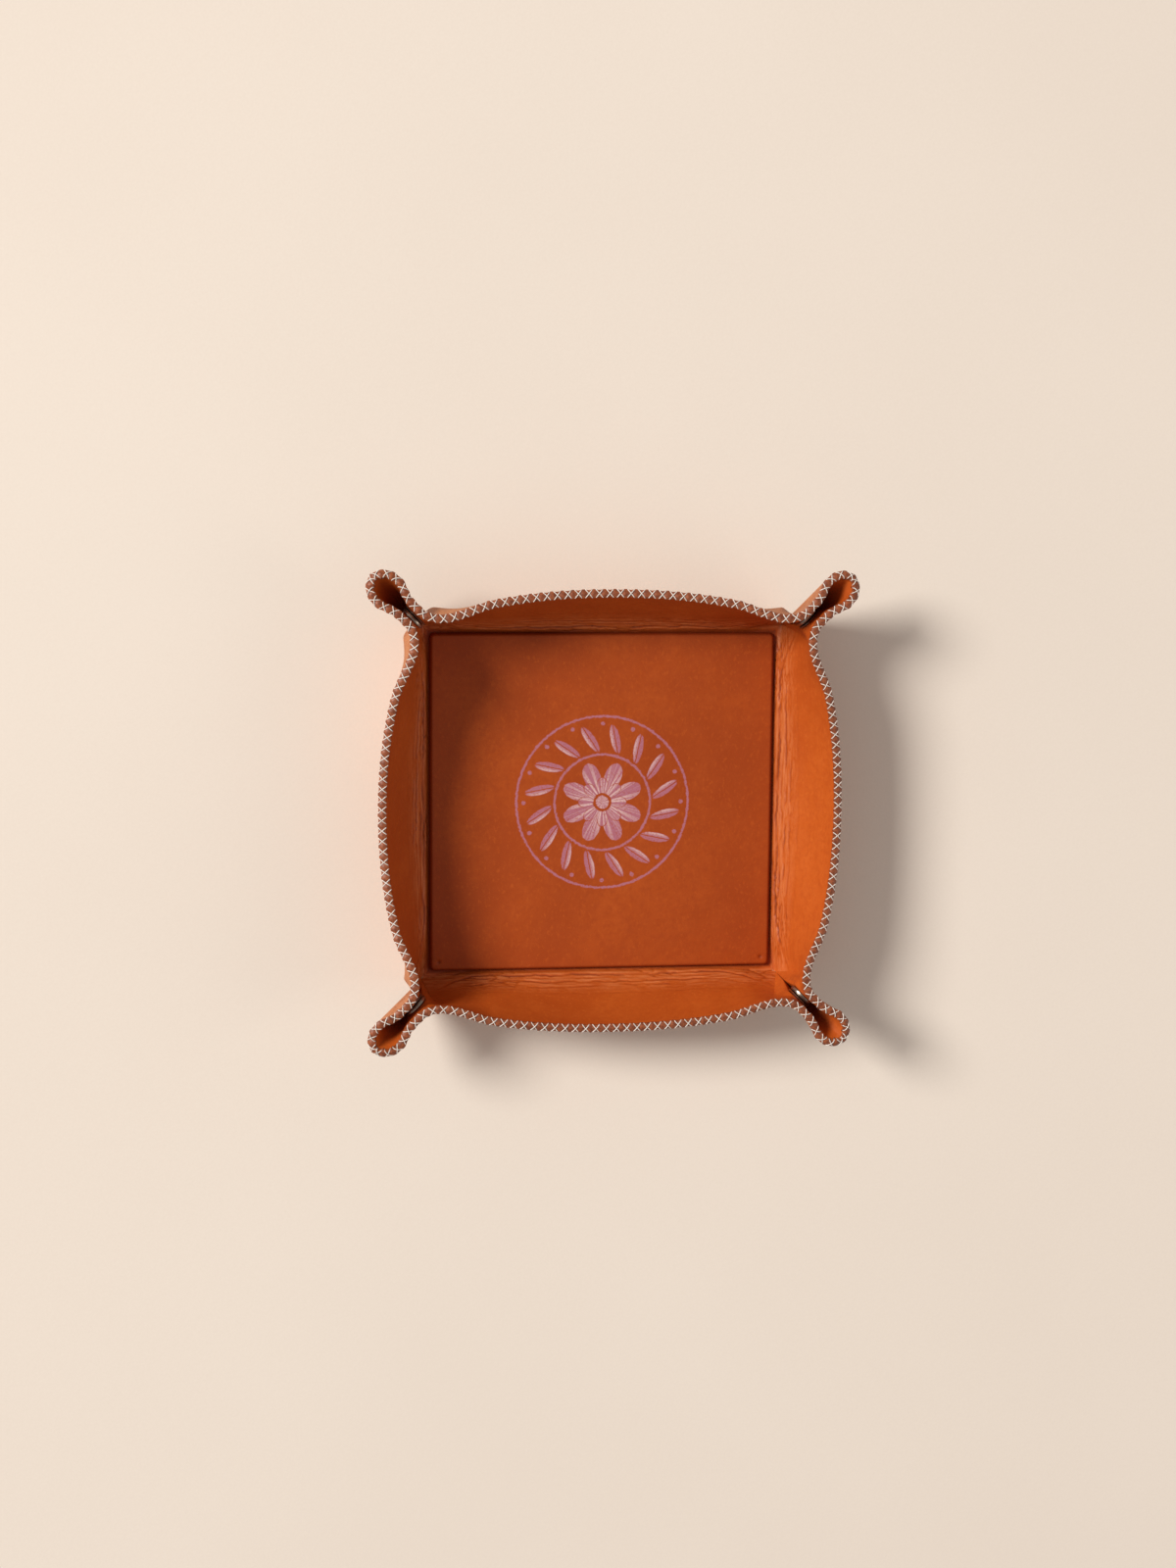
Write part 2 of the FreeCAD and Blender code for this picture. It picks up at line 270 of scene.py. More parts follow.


# painted shade in creases, grooves, pleats, dimples and the hollows of the loops, pale over the fold,
# burnished beside the cut edge
def agedAndShaded(look, colour, finish):
    shade = look.node("ShaderNodeAttribute", {"attribute_name": "shade"}, output="Fac")
    band = look.node("ShaderNodeAttribute", {"attribute_name": "band"}, output="Fac")
    # painted shade: the shade attribute mixes in the crease colour
    colour = look.colour(shade, colour, finish["crease"])
    colour = look.colour(0 - shade, colour, finish["pale"])
    return look.colour(band, colour, edgeColour(look))


def grain(look):
    pebble = look.cells(1300)
    crease = look.noise(620, 4, 0.6, warp=1.2)
    return pebble.ramp(0.1, 0.6) * 0.5 + crease


def liningLook(name, finish, printed=False):
    look = Look(name)
    colour = leatherColour(look, finish)
    pores = look.cells(1700).ramp(0.05, 0.16, 1, 0)
    sparse = look.noise(160, 2).ramp(0.52, 0.66)
    colour = look.colour(pores * sparse * 0.55, colour, finish["pore"])
    colour = agedAndShaded(look, colour, finish)
    roughness = finish["roughness"] + (look.noise(140, 3) - 0.5) * 0.22
    height = grain(look)
    if printed:
        ink, colour = printInk(look, colour)
        roughness = roughness + ink * 0.12
        height = height + ink * 0.5
    return look.finish(colour, roughness, look.bump(height, 0.22, 0.12 * mm), Specular_IOR_Level=0.27)


# a plain rosette printed in the middle of the base
rosette = {
    "ink": (0.43, 0.16, 0.225, 1),
    "pale": (0.76, 0.55, 0.53, 1),
    "eye": 3.6 * mm,
    "petals": 8,
    "innerFlower": 11 * mm,  # tips of the small petals
    "flower": 19 * mm,       # tips of the large petals
    "gap": 0.45 * mm,        # bare line round a petal
    "wreath": 29.5 * mm,     # middle of the ring of leaves
    "leaves": 16,
    "leafLong": 6.4 * mm,
    "leafWide": 2.4 * mm,
    "leafSlant": 0.4,
    "dots": 36.2 * mm,       # ring of dots between the tips of the leaves
    "dotRadius": 0.95 * mm,
    "rings": (22 * mm, 39.5 * mm),
    "ringWide": 0.5 * mm,
    "soft": 0.22 * mm,
    "wobble": 1.3 * mm,      # unevenness of the printed edges
    "vein": (0.14 * mm, 0.34 * mm),
    "strokes": 8.0,
    "cover": 0.93,
}


def petalRing(radius, angle, tip, turn):    # inside of a ring of petals, and the same with its bare line
    lobe = ((angle + turn) * (rosette["petals"] / 2)).math("COSINE").math("ABSOLUTE") ** 0.5
    rim = lobe * (tip - rosette["eye"]) + rosette["eye"] - radius
    soft = rosette["soft"]
    return rim.ramp(-soft, soft), rim.ramp(-rosette["gap"] - soft, -rosette["gap"] + soft)


def printInk(look, colour):
    place = look.node("ShaderNodeSeparateXYZ", {}, [look.coords()])
    x = place
    y = Wire(look, place.socket.node.outputs["Y"])
    wobble = (look.noise(700, 3) - 0.5) * rosette["wobble"]
    radius = (x * x + y * y) ** 0.5 + wobble
    angle = y.math("ARCTAN2", x)
    soft = rosette["soft"]
    large, _ = petalRing(radius, angle, rosette["flower"], math.pi / rosette["petals"])
    small, smallGap = petalRing(radius, angle, rosette["innerFlower"], 0)
    eyeRing = (radius - rosette["eye"]).math("ABSOLUTE").ramp(rosette["gap"], rosette["gap"] + 2 * soft)
    ink = (large * (1 - smallGap)).high(small) * eyeRing
    step = math.tau / rosette["leaves"]
    local = (angle + math.tau).math("MODULO", step) - step / 2
    alongLeaf = radius - rosette["wreath"]
    slant = local * radius - alongLeaf * rosette["leafSlant"]
    leaf = (alongLeaf / rosette["leafLong"]) ** 2 + (slant / rosette["leafWide"]) ** 2
    vein = slant.math("ABSOLUTE").ramp(*rosette["vein"])
    ink = ink.high(leaf.ramp(0.8, 1.05, 1, 0) * vein)
    between = (angle + math.tau + step / 2).math("MODULO", step) - step / 2
    dot = ((between * radius) ** 2 + (radius - rosette["dots"]) ** 2) ** 0.5
    ink = ink.high(dot.ramp(rosette["dotRadius"] - soft, rosette["dotRadius"] + soft, 1, 0))
    for ring in rosette["rings"]:
        line = (radius - ring).math("ABSOLUTE")
        ink = ink.high(line.ramp(rosette["ringWide"] - soft, rosette["ringWide"] + soft, 1, 0))
    worn = look.noise(2400, 3, 0.7).ramp(0.34, 0.46)
    top = look.node("ShaderNodeNewGeometry", output="Normal")
    facing = Wire(look, look.node("ShaderNodeSeparateXYZ", {}, [top]).socket.node.outputs["Z"])
    ink = ink * worn * facing.ramp(0.9, 0.97)
    oneWay = {"noise_dimensions": "1D"}
    stroke = look.node("ShaderNodeTexNoise", oneWay, {"W": angle * rosette["strokes"], "Scale": 0.9})
    streak = stroke.ramp(0.46, 0.58) * radius.ramp(rosette["eye"], rosette["flower"], 0.95, 0.25)
    inFlower = (radius - rosette["rings"][0]).ramp(-1 * mm, 0, 1, 0)
    light = streak * inFlower + slant.ramp(0, rosette["leafWide"]) * leaf.ramp(0.6, 1, 1, 0) * 0.8
    tint = look.colour(light.low(1.0), rosette["ink"], rosette["pale"])
    return ink, look.colour(ink * rosette["cover"], colour, tint)


# the outer side of the sheet: the same hide, dry and paler
backingFinish = {
    "dark": (0.36, 0.115, 0.038, 1),
    "tan": (0.52, 0.19, 0.066, 1),
    "warm": (0.60, 0.24, 0.09, 1),
    # painted shade: the colour of creases and grooves
    "crease": (0.16, 0.05, 0.018, 1),
    "pale": (0.66, 0.31, 0.14, 1),
    "roughness": 0.62,
}


def backingLook(finish):
    look = Look("backingLeather")
    colour = agedAndShaded(look, leatherColour(look, finish), finish)
    roughness = finish["roughness"] + (look.noise(200, 3) - 0.5) * 0.2
    return look.finish(colour, roughness, look.bump(grain(look), 0.3, 0.14 * mm))


# the cut edge, rubbed and waxed
edgeFinish = {"dark": (0.155, 0.035, 0.012, 1), "brown": (0.33, 0.085, 0.026, 1), "roughness": 0.5}


def edgeColour(look):
    return look.colour(look.noise(700, 4, 0.7).ramp(0.35, 0.65), edgeFinish["dark"], edgeFinish["brown"])


def edgeLook():
    look = Look("burnishedEdge")
    fibre = look.noise(900, 3, 0.7)
    roughness = edgeFinish["roughness"] + (fibre - 0.5) * 0.3
    return look.finish(edgeColour(look), roughness, look.bump(fibre, 0.4, 0.2 * mm))


threadFinish = {"shade": (0.62, 0.55, 0.49, 1), "pale": (0.89, 0.84, 0.79, 1), "roughness": 0.62}


def threadLook(finish):
    look = Look("waxedThread")
    twist = look.node("ShaderNodeTexWave", {"bands_direction": "DIAGONAL"},
                      {"Vector": look.coords(), "Scale": 520.0, "Distortion": 2.0, "Detail": 1.0})
    # painted shade: darker in the grooves of the twist
    colour = look.colour(twist.ramp(0.2, 0.7), finish["shade"], finish["pale"])
    return look.finish(colour, finish["roughness"], look.bump(twist, 0.5, 0.15 * mm))


# near black: painted shade in the stitch holes
holeShadeFinish = {"dark": (0.012, 0.006, 0.004, 1), "brown": (0.035, 0.014, 0.008, 1), "roughness": 0.9}


def holeLook(finish):
    look = Look("stitchHole")
    fibre = look.noise(900, 2)
    return look.finish(look.colour(fibre, finish["dark"], finish["brown"]), finish["roughness"])


snapFinish = {"dark": (0.085, 0.072, 0.062, 1), "rubbed": (0.46, 0.40, 0.33, 1), "roughness": 0.28}


def snapLook(finish):
    look = Look("antiqueSnap")
    cloud = look.noise(900, 4, 0.65)
    scratch = look.noise(1500, 2, 0.5, stretch=(1, 1, 0.12))
    rubbed = look.node("ShaderNodeNewGeometry", output="Pointiness").ramp(0.5, 0.56)
    bright = (cloud.ramp(0.45, 0.7) * 0.35 + rubbed * 0.65).low(1.0)
    colour = look.colour(bright, finish["dark"], finish["rubbed"])
    roughness = finish["roughness"] + scratch.ramp(0.4, 0.7) * 0.18
    return look.finish(colour, roughness, look.bump(scratch, 0.12, 0.05 * mm), Metallic=1.0)


lining = liningLook("liningLeather", wallFinish)
printedLining = liningLook("printedLeather", liningFinish, True)
backing = backingLook(backingFinish)
edge = edgeLook()
thread = threadLook(threadFinish)
stitchHole = holeLook(holeShadeFinish)
snapMetal = snapLook(snapFinish)
leatherCoat = [lining, backing, edge]
print("materials made")


def newPiece(name, bm, materials, smoothAngle=50):
    bmesh.ops.recalc_face_normals(bm, faces=bm.faces)
    closed = all(rung.is_manifold for rung in bm.edges)
    if closed and bm.calc_volume(signed=True) < 0:    # a small folded piece can still come out inside out
        bmesh.ops.reverse_faces(bm, faces=bm.faces)
    mesh = bpy.data.meshes.new(name)
    bm.to_mesh(mesh)
    bm.free()
    for face in mesh.polygons:
        face.use_smooth = True
    mesh.set_sharp_from_angle(angle=math.radians(smoothAngle))
    for material in materials:
        mesh.materials.append(material)
    piece = bpy.data.objects.new(name, mesh)
    bpy.context.scene.collection.objects.link(piece)
    return piece


# a block of leather: along the run, from foot to rim, and from the lining's face to the backing's face;
# the shape gives a point's place, its painted shade (below zero, how pale it is), and its share of the
# burnished band
def leatherBlock(name, columns, rows, shape, materials):
    bm = bmesh.new()
    shade = bm.verts.layers.float.new("shade")
    band = bm.verts.layers.float.new("band")
    for depth in (0, 1):
        corner = Matrix.Translation((0.5, 0.5, depth))
        bmesh.ops.create_grid(bm, x_segments=columns, y_segments=rows, size=0.5, matrix=corner)
    rims = [border for border in bm.edges if border.is_boundary]
    walls = bmesh.ops.bridge_loops(bm, edges=rims)["edges"]
    across = [rung for rung in walls if abs(rung.verts[0].co.z - rung.verts[1].co.z) > 0.5]
    bmesh.ops.subdivide_edges(bm, edges=across, cuts=3, use_grid_fill=True)
    for face in bm.faces:
        depth = face.calc_center_median().z
        face.material_index = 0 if depth < 0.01 else 1 if depth > 0.99 else 2
    for vert in bm.verts:
        vert.co, vert[shade], vert[band] = shape(*vert.co)
    return newPiece(name, bm, materials)


# cross stitching over the cut edge
stitch = {
    "pitch": 4.65 * mm,
    "radius": 0.22 * mm,
    "inset": 1.4 * mm,          # holes, in from the cut edge
    "over": 0.3 * mm,           # middle of the thread above the edge
    "lift": 0.42 * mm,          # the second thread goes over the first
    "proud": 0.085,             # of the thickness, from the leather's face to the middle of the thread
    "hole": 0.36 * mm,
    "holeDeep": 0.5 * mm,
    "holeProud": 0.12 * mm,     # mouth of the pit above the leather's face
    "holeSides": 6,
    "samples": 400,
}
stitchRuns = {}    # where the holes are along each edge


def lengthsAlong(points):    # from the first point to each
    lengths = [0.0]
    for before, after in zip(points, points[1:]):
        lengths.append(lengths[-1] + (after - before).length)
    return lengths


def stitchPlaces(point):    # runs of evenly spaced holes along an edge
    samples = stitch["samples"]
    lengths = lengthsAlong([point(index / samples) for index in range(samples + 1)])
    count = round(lengths[-1] / stitch["pitch"])
    runs = []
    for index in range(count + 1):
        target = lengths[-1] * index / count
        place = min(max(bisect.bisect_left(lengths, target), 1), samples)
        step = (target - lengths[place - 1]) / (lengths[place] - lengths[place - 1])
        runs.append((place - 1 + step) / samples)
    return runs


def stitchPhase(edgeName, run):    # a whole number at each hole
    runs = stitchRuns[edgeName]
    place = min(max(bisect.bisect_right(runs, run) - 1, 0), len(runs) - 2)
    return place + (run - runs[place]) / (runs[place + 1] - runs[place])


# the cut edge swells between the crossings of the thread, and is squeezed under them
cutEdge = {
    "crown": 0.6 * mm,
    "pressedCrown": 0.1 * mm,
    "ease": 0.05,               # share of the thickness that is rubbed off at the edge
    "pressedEase": 0.17,
    "bead": 0.42 * mm,
    "beadAt": 0.45 * mm,        # below the edge
    "beadWide": 0.75 * mm,
    "band": 1.75 * mm,          # burnished, beside the edge
    "bandSoft": 0.7 * mm,
}


def edgeSwell(edgeName, run):    # 1 between two crossings, 0 under one
    return 0.5 + 0.5 * math.cos(math.tau * stitchPhase(edgeName, run))


def beadOf(swell, below):    # how far the leather's faces stand out beside the edge
    return cutEdge["bead"] * swell * math.exp(-((below - cutEdge["beadAt"]) / cutEdge["beadWide"]) ** 2)


def easedEdge(rise, depth, swell):
    if rise < 0.999 or not 0 <= depth <= 1:
        return 0.0, depth
    ease = mixed(cutEdge["pressedEase"], cutEdge["ease"], swell)
    crown = mixed(cutEdge["pressedCrown"], cutEdge["crown"], swell)
    return crown * 4 * depth * (1 - depth) / sheet["height"], mixed(ease, 1 - ease, depth)


def burnished(below):    # share of the band at a distance below the cut edge
    return 1 - smoothStep((below - cutEdge["band"] + cutEdge["bandSoft"]) / cutEdge["bandSoft"])


# walls
wallSheet = {
    "flareStart": 0.8,          # share of the half length where the wall starts to gather to its corner
    "cornerLift": 2.6 * mm,     # the gathered corner stands off the table
    "ledge": 4.4 * mm,          # foot of the wall under the edge of the panel
    "ledgeUp": 2.2 * mm,
    "grooveAt": -3.4 * mm,      # out from the fold
    "grooveWide": 1.2 * mm,
    # painted shade in the groove, at most this much
    "grooveShade": 0.62,
    "lip": 0.55 * mm,           # pressed up beside the groove
    "lipAt": -1.5 * mm,
    "lipWide": 1.1 * mm,
    "foldRound": 6.5 * mm,      # rounding of the fold, in the middle of the wall
    "cornerRound": 0.9 * mm,
    "footShare": 0.24,          # of the rows, for the fold
    "spread": 1.3,              # rows are closer together above the fold
    "rimRows": 0.6,             # and at the rim
    "seamReach": 9 * mm,        # at the rim, from the corner to the seam with the ear
    "bowPower": 2.2,            # the rim is bowed in the middle and runs straight into the throats
    "straightStart": 0.65,
    "straightShare": 0.75,
    "bulge": 4.8 * mm,          # half way up, beside the throat
    "bulgeStart": 0.55,
    "creaseFrom": 2 * mm,       # creases start above the groove
    "creaseEnd": 0.86,          # and end below the rim
    "creaseSoft": 0.12,
    "blendStart": (-2.6 * mm, 0.5 * mm),    # out from the fold and up: still the base
    "blendEnd": (1.6 * mm, 6 * mm),         # and all wall
    "columns": 216,
    "rows": 110,
}

# creases that run along the foot of a wall, and climb and die out towards its ends
creases = {
    "heights": (2.4 * mm, 4.3 * mm, 6.2 * mm, 8.8 * mm, 12 * mm, 17 * mm),
    "depths": (0.16 * mm, 0.5 * mm, 0.24 * mm, 0.34 * mm, 0.2 * mm, 0.12 * mm),
    "steady": (0.1, 0.4, 0.1, 0.15, 0.1, 0.1),    # share of the depth that a line keeps all along
    "wide": 0.62 * mm,
    "wave": 1.3 * mm,
    "waveLength": 17 * mm,
    "wander": ((1, 1, 0), (0.45, 3, 9), (0.3, 7, 5)),    # strength, how much finer, row of the noise
    "strengthFiner": 1.6,
    "ridge": 0.4,               # beside a line, share of its depth
    "ridgeAt": 1.8,
    "gather": (16 * mm, 31 * mm, 24 * mm, 36 * mm, 28 * mm, 40 * mm),    # from the corner: climb starts
    "climb": 16 * mm,
    "climbLess": 0.6,           # of its height, for a higher line
    "cornerFade": 0.85,         # lines die out towards the corner
    "swell": 0.18 * mm,         # soft unevenness of the whole wall
    "swellLong": 17 * mm,
    "swellHigh": 9 * mm,
    "fine": 0.34 * mm,          # short wrinkles beside the fold
    "fineLong": 6 * mm,
    "fineWide": 1.5 * mm,
    "fineUp": 15 * mm,
    "fineFade": 0.4,
    "fineSharp": 6,
    "sway": 2.5 * mm,           # how far the short wrinkles are pushed along
    "swayLong": 6 * mm,
    "swayHigh": 4 * mm,
    "patchLong": 24 * mm,       # they come in patches
    "patchHigh": 11 * mm,
    "pale": 0.62,               # bent leather, in streaks
    "paleStart": 7 * mm,
    "paleEnd": 19 * mm,
    "streakLong": 10 * mm,
    "streakWide": 1.0 * mm,
    "streakFiner": 2.2,
    "paleClear": 3,             # lines with painted shade have no pale in them
    # painted shade along the crease lines: full where a line is this deep, at most this much
    "darkAt": 0.5 * mm,
    "shade": 0.62,
}


def noiseAt(long, high, row):
    return noise.noise(Vector((long, high, row)))


def creaseDepth(side, along, height):    # how deep, and the part of it that is in a sharp line
    turn = side.out.x * 3.1 + side.out.y * 1.7
    swell = creases["swell"] * noiseAt(along / creases["swellLong"], height / creases["swellHigh"], turn)
    lines = 0.0
    for index, level in enumerate(creases["heights"]):
        gather = creases["gather"][index]
        near = max(1 - (side.half - abs(along)) / gather, 0)
        seed = turn * 5 + index * 3.7
        wander = 0.0
        for part, finer, row in creases["wander"]:
            wander += part * noiseAt(along / (creases["waveLength"] / finer), seed, row)
        climb = creases["climb"] - level * creases["climbLess"]
        line = level + creases["wave"] * wander + climb * near * near
        slope = 2 * climb * near / gather
        strengthLong = creases["waveLength"] / creases["strengthFiner"]
        strength = smoothStep(0.5 + 1.5 * noiseAt(along / strengthLong, seed, 4))
        away = abs(height - line) / math.hypot(1, slope) / creases["wide"]
        ridge = creases["ridge"] * math.exp(-(away - creases["ridgeAt"]) ** 2)
        depth = creases["depths"][index] * mixed(creases["steady"][index], 1, strength)
        lines += depth * (1 - creases["cornerFade"] * near) * (math.exp(-away * away) - ridge)
    sway = noiseAt(along / creases["swayLong"], height / creases["swayHigh"], turn)
    wavy = along + creases["sway"] * sway
    fold = noiseAt(wavy / creases["fineLong"], height / creases["fineWide"], turn + 7)
    patch = noiseAt(along / creases["patchLong"], height / creases["patchHigh"], turn + 3)
    low = 1 - smoothStep(height / creases["fineUp"] - creases["fineFade"])
    fine = max(1 - abs(fold) * creases["fineSharp"], 0)
    lines += creases["fine"] * fine * smoothStep(0.6 + 1.4 * patch) * low
    return swell + lines, lines


def foldPale(side, along, height):    # how far the leather has paled, in streaks along the fold
    turn = side.out.x * 2.3 + side.out.y * 4.1
    long = along / creases["streakLong"]
    high = height / creases["streakWide"]
    streak = noiseAt(long, high, turn)
    fine = noiseAt(long * creases["streakFiner"], high * 2, turn + 5)
    up = 1 - smoothStep((height - creases["paleStart"]) / (creases["paleEnd"] - creases["paleStart"]))
    return creases["pale"] * max(0.5 + 0.8 * streak + 0.5 * fine, 0) * up


def rimBow(share):    # 1 in the middle of the rim, 0 at the throat
    share = abs(share)
    straight = smoothStep((share - wallSheet["straightStart"]) / (1 - wallSheet["straightStart"]))
    return (1 - share ** wallSheet["bowPower"]) * (1 - wallSheet["straightShare"] * straight)


def wallSection(side, share):
    flare = smoothStep((abs(share) - wallSheet["flareStart"]) / (1 - wallSheet["flareStart"]))
    bow = max(rimBow(share), 0)
    foot = (sheetThick * flare, wallSheet["cornerLift"] * flare)
    length = sheet["height"] - wallSheet["cornerLift"] * flare
    spare = side.reach - throatOut
    halfCurl = max(sheet["curl"] * bow / 2, 0.001)
    chord = length * math.sin(halfCurl) / halfCurl
    lean = math.asin((throatOut + spare * bow - foot[0]) / chord)
    step = 0.01
    slope = (rimBow(share + step) - rimBow(share - step)) / (2 * step) * spare / side.half
    bulgeShare = (abs(share) - wallSheet["bulgeStart"]) / (1 - wallSheet["bulgeStart"])
    bulge = wallSheet["bulge"] * smoothStep(bulgeShare)
    return foot, lean, halfCurl, length, slope, flare, bulge


# a place up the wall's section, the way out of the leather there, and its lean
def sectionPoint(section, part, depth):
    foot, lean, halfCurl, length, slope, _, cornerBulge = section
    turn = halfCurl * (1 - 2 * part)
    radius = length / (2 * halfCurl)
    chord = radius * (math.sin(halfCurl) - math.sin(turn))
    bulge = radius * (math.cos(turn) - math.cos(halfCurl)) + cornerBulge * math.sin(math.pi * min(part, 1))
    out = foot[0] + math.sin(lean) * chord + math.cos(lean) * bulge
    up = foot[1] + math.cos(lean) * chord - math.sin(lean) * bulge
    outward = math.cos(lean + turn)
    normal = Vector((-slope * part * outward, outward, -math.sin(lean + turn)))
    normal.normalize()
    return Vector((0, out, up)) - normal * (sheetThick * (1 - depth)), normal, lean + turn


def wallPoint(side, across, rise, depth):    # across runs from -1 to 1, rise and depth from 0 to 1
    return wallPlace(side, across, rise, depth)[0]


# the place, its painted shade (below zero, how pale it is), and its share of the burnished band
def wallPlace(side, across, rise, depth, swell=0.0):
    footShare = wallSheet["footShare"]
    crown, depth = easedEdge(rise, depth, swell)
    part = max(rise - footShare, 0) / (1 - footShare)
    along = across * (side.half - wallSheet["seamReach"] * part)
    section = wallSection(side, along / side.half)
    flare = section[5]
    length = section[3]
    rounding = mixed(wallSheet["foldRound"], wallSheet["cornerRound"], flare) / length
    top, normal, angle = sectionPoint(section, rounding, depth)
    start = Vector((0, -wallSheet["ledge"], mixed(wallSheet["ledgeUp"], 0, depth)))
    height = (top - start).length
    inside = 1 - smoothStep(depth * 2)
    shade = 0.0
    if rise > footShare:
        share = mixed(rounding, 1, part)
        point, normal, _ = sectionPoint(section, share + crown, depth)
        height += (share - rounding) * length
    else:
        bend = Vector((0, top.y - (top.z - start.z) * math.tan(angle), start.z))
        step = rise / footShare
        point = start * (1 - step) ** 2 + bend * (2 * step * (1 - step)) + top * step ** 2
        tangent = (bend - start) * (1 - step) + (top - bend) * step
        normal = Vector((0, tangent.z, -tangent.y)).normalized()
        height = (point - start).length
        along = across * (side.half + min(point.y, 0))
        lip = math.exp(-((point.y - wallSheet["lipAt"]) / wallSheet["lipWide"]) ** 2) * (1 - flare)
        groove = math.exp(-((point.y - wallSheet["grooveAt"]) / wallSheet["grooveWide"]) ** 2)
        point.z += wallSheet["lip"] * lip * (1 - smoothStep(depth))
        # painted shade in the groove
        shade = wallSheet["grooveShade"] * groove * inside
    fade = inside * smoothStep(height / wallSheet["creaseFrom"])
    fade *= 1 - smoothStep((rise - wallSheet["creaseEnd"]) / wallSheet["creaseSoft"])
    crease, line = creaseDepth(side, along, height)
    point += normal * (crease * fade + beadOf(swell, (1 - part) * length) * (2 * depth - 1))
    # painted shade along the crease lines
    shade = max(shade, creases["shade"] * min(max(line * fade / creases["darkAt"], 0), 1))
    shade -= foldPale(side, along, height) * fade * max(1 - creases["paleClear"] * shade, 0)
    return Vector((along + point.x, point.y, point.z)), shade, burnished((1 - part) * length)


def trayPoint(side, point):    # from the middle of a side's fold to the tray
    return side.along * point.x + side.out * (side.offset + point.y) + Vector((0, 0, point.z))


def rowRise(rise):    # from an even row to its place up the wall
    footShare = wallSheet["footShare"]
    step = max(rise - footShare, 0) / (1 - footShare)
    if step == 0:
        return rise
    step += wallSheet["rimRows"] * step * step * (1 - step)
    return mixed(footShare, 1, step ** wallSheet["spread"])


def makeWall(side):
    def shape(run, rise, depth):
        point, shade, band = wallPlace(side, 2 * run - 1, rowRise(rise), depth, edgeSwell(side.name, run))
        return trayPoint(side, point), shade, band

    stitchRuns[side.name] = stitchPlaces(lambda run: wallPoint(side, 2 * run - 1, 1, 0.5))
    name = "wall_leather_" + side.name
    piece = leatherBlock(name, wallSheet["columns"], wallSheet["rows"], shape, leatherCoat)
    start = trayPoint(side, Vector((0, *wallSheet["blendStart"])))
    end = trayPoint(side, Vector((0, *wallSheet["blendEnd"])))
    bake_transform(piece)
    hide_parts("wall_backing_" + side.name, "wall_lining_" + side.name)


for side in sides:
    makeWall(side)
print("walls made")


# ears
earSheet = {
    "reach": 34.5 * mm,         # outer tip, out from the corner
    "tipHeight": 42.5 * mm,
    "neckReach": 15 * mm,
    "neckGap": 4.6 * mm,
    "loopReach": 24.5 * mm,
    "loopGap": 10 * mm,
    "bendReach": 9 * mm,        # end of the bend from the wall into the neck
    "loopShare": 0.6,           # of the way to the tip, where the loop is widest
    "tipLap": 0.75 * mm,        # past the diagonal, to narrow the slit between the opened halves
    "lapStart": 0.85,
    "innerRoot": 0.3 * mm,      # rounding of the lining at the corner point
    "rootUp": 2.6 * mm,
    "columns": 96,
    "rows": 60,
    "spread": 1.35,             # rows are closer together at the rim
    "samples": 240,
    "fade": 0.3,                # share of the run in which the wall's own shape dies out
    "blendStart": -3.5 * mm,
    "blendEnd": 4 * mm,
    "seamPart": 6,              # the first sixth turns from the wall's face into the ear's
    "pull": 0.3 * mm,           # pleats that fan out from the snap
    "pullAt": 9 * mm,
    "pullWide": 5 * mm,
    "pleats": (16, 2, 700),
    "pullEnds": 8,
    "squeeze": 0.9,             # the two linings come together under the snap
    "squeezeLow": 15 * mm,
    "squeezeHigh": 27 * mm,
    "squeezeStart": 0.12,
    "hollowShade": 0.5,         # the inside of the loop: painted shade, darker deeper down
    "hollowUp": 0.4,
    "hollowStart": 0.25,
    "hollowSoft": 0.25,
}
tipLine = cornerPoint(earSheet["reach"], 0, earSheet["tipHeight"]).normalized()
tipNormal = tipLine.cross(cornerPoint(0, -1, 0)).normalized()


def neckSide(reach):    # the lining at the cut edge of the neck, sideways from the diagonal
    start = reachOf(throatInner)
    share = min((reach - start) / (earSheet["neckReach"] - start), 1)
    return mixed(sideOf(throatInner), earSheet["neckGap"] / 2, share)


# the lining at the cut edge, from the bend to the tip: out along the diagonal, and sideways
def earPlan(share):
    innerTip = earSheet["reach"] - (tipNormal * sheetThick).dot(cornerPoint(1, 0, 0))
    loopShare = earSheet["loopShare"]
    if share > loopShare:
        angle = math.pi / 2 * (share - loopShare) / (1 - loopShare)
        loop = earSheet["loopReach"]
        return loop + (innerTip - loop) * math.sin(angle), earSheet["loopGap"] / 2 * math.cos(angle)
    reach = mixed(earSheet["bendReach"], earSheet["loopReach"], share / loopShare)
    widen = smoothStep((reach - earSheet["neckReach"]) / (earSheet["loopReach"] - earSheet["neckReach"]))
    return reach, neckSide(reach) + (earSheet["loopGap"] - earSheet["neckGap"]) / 2 * widen


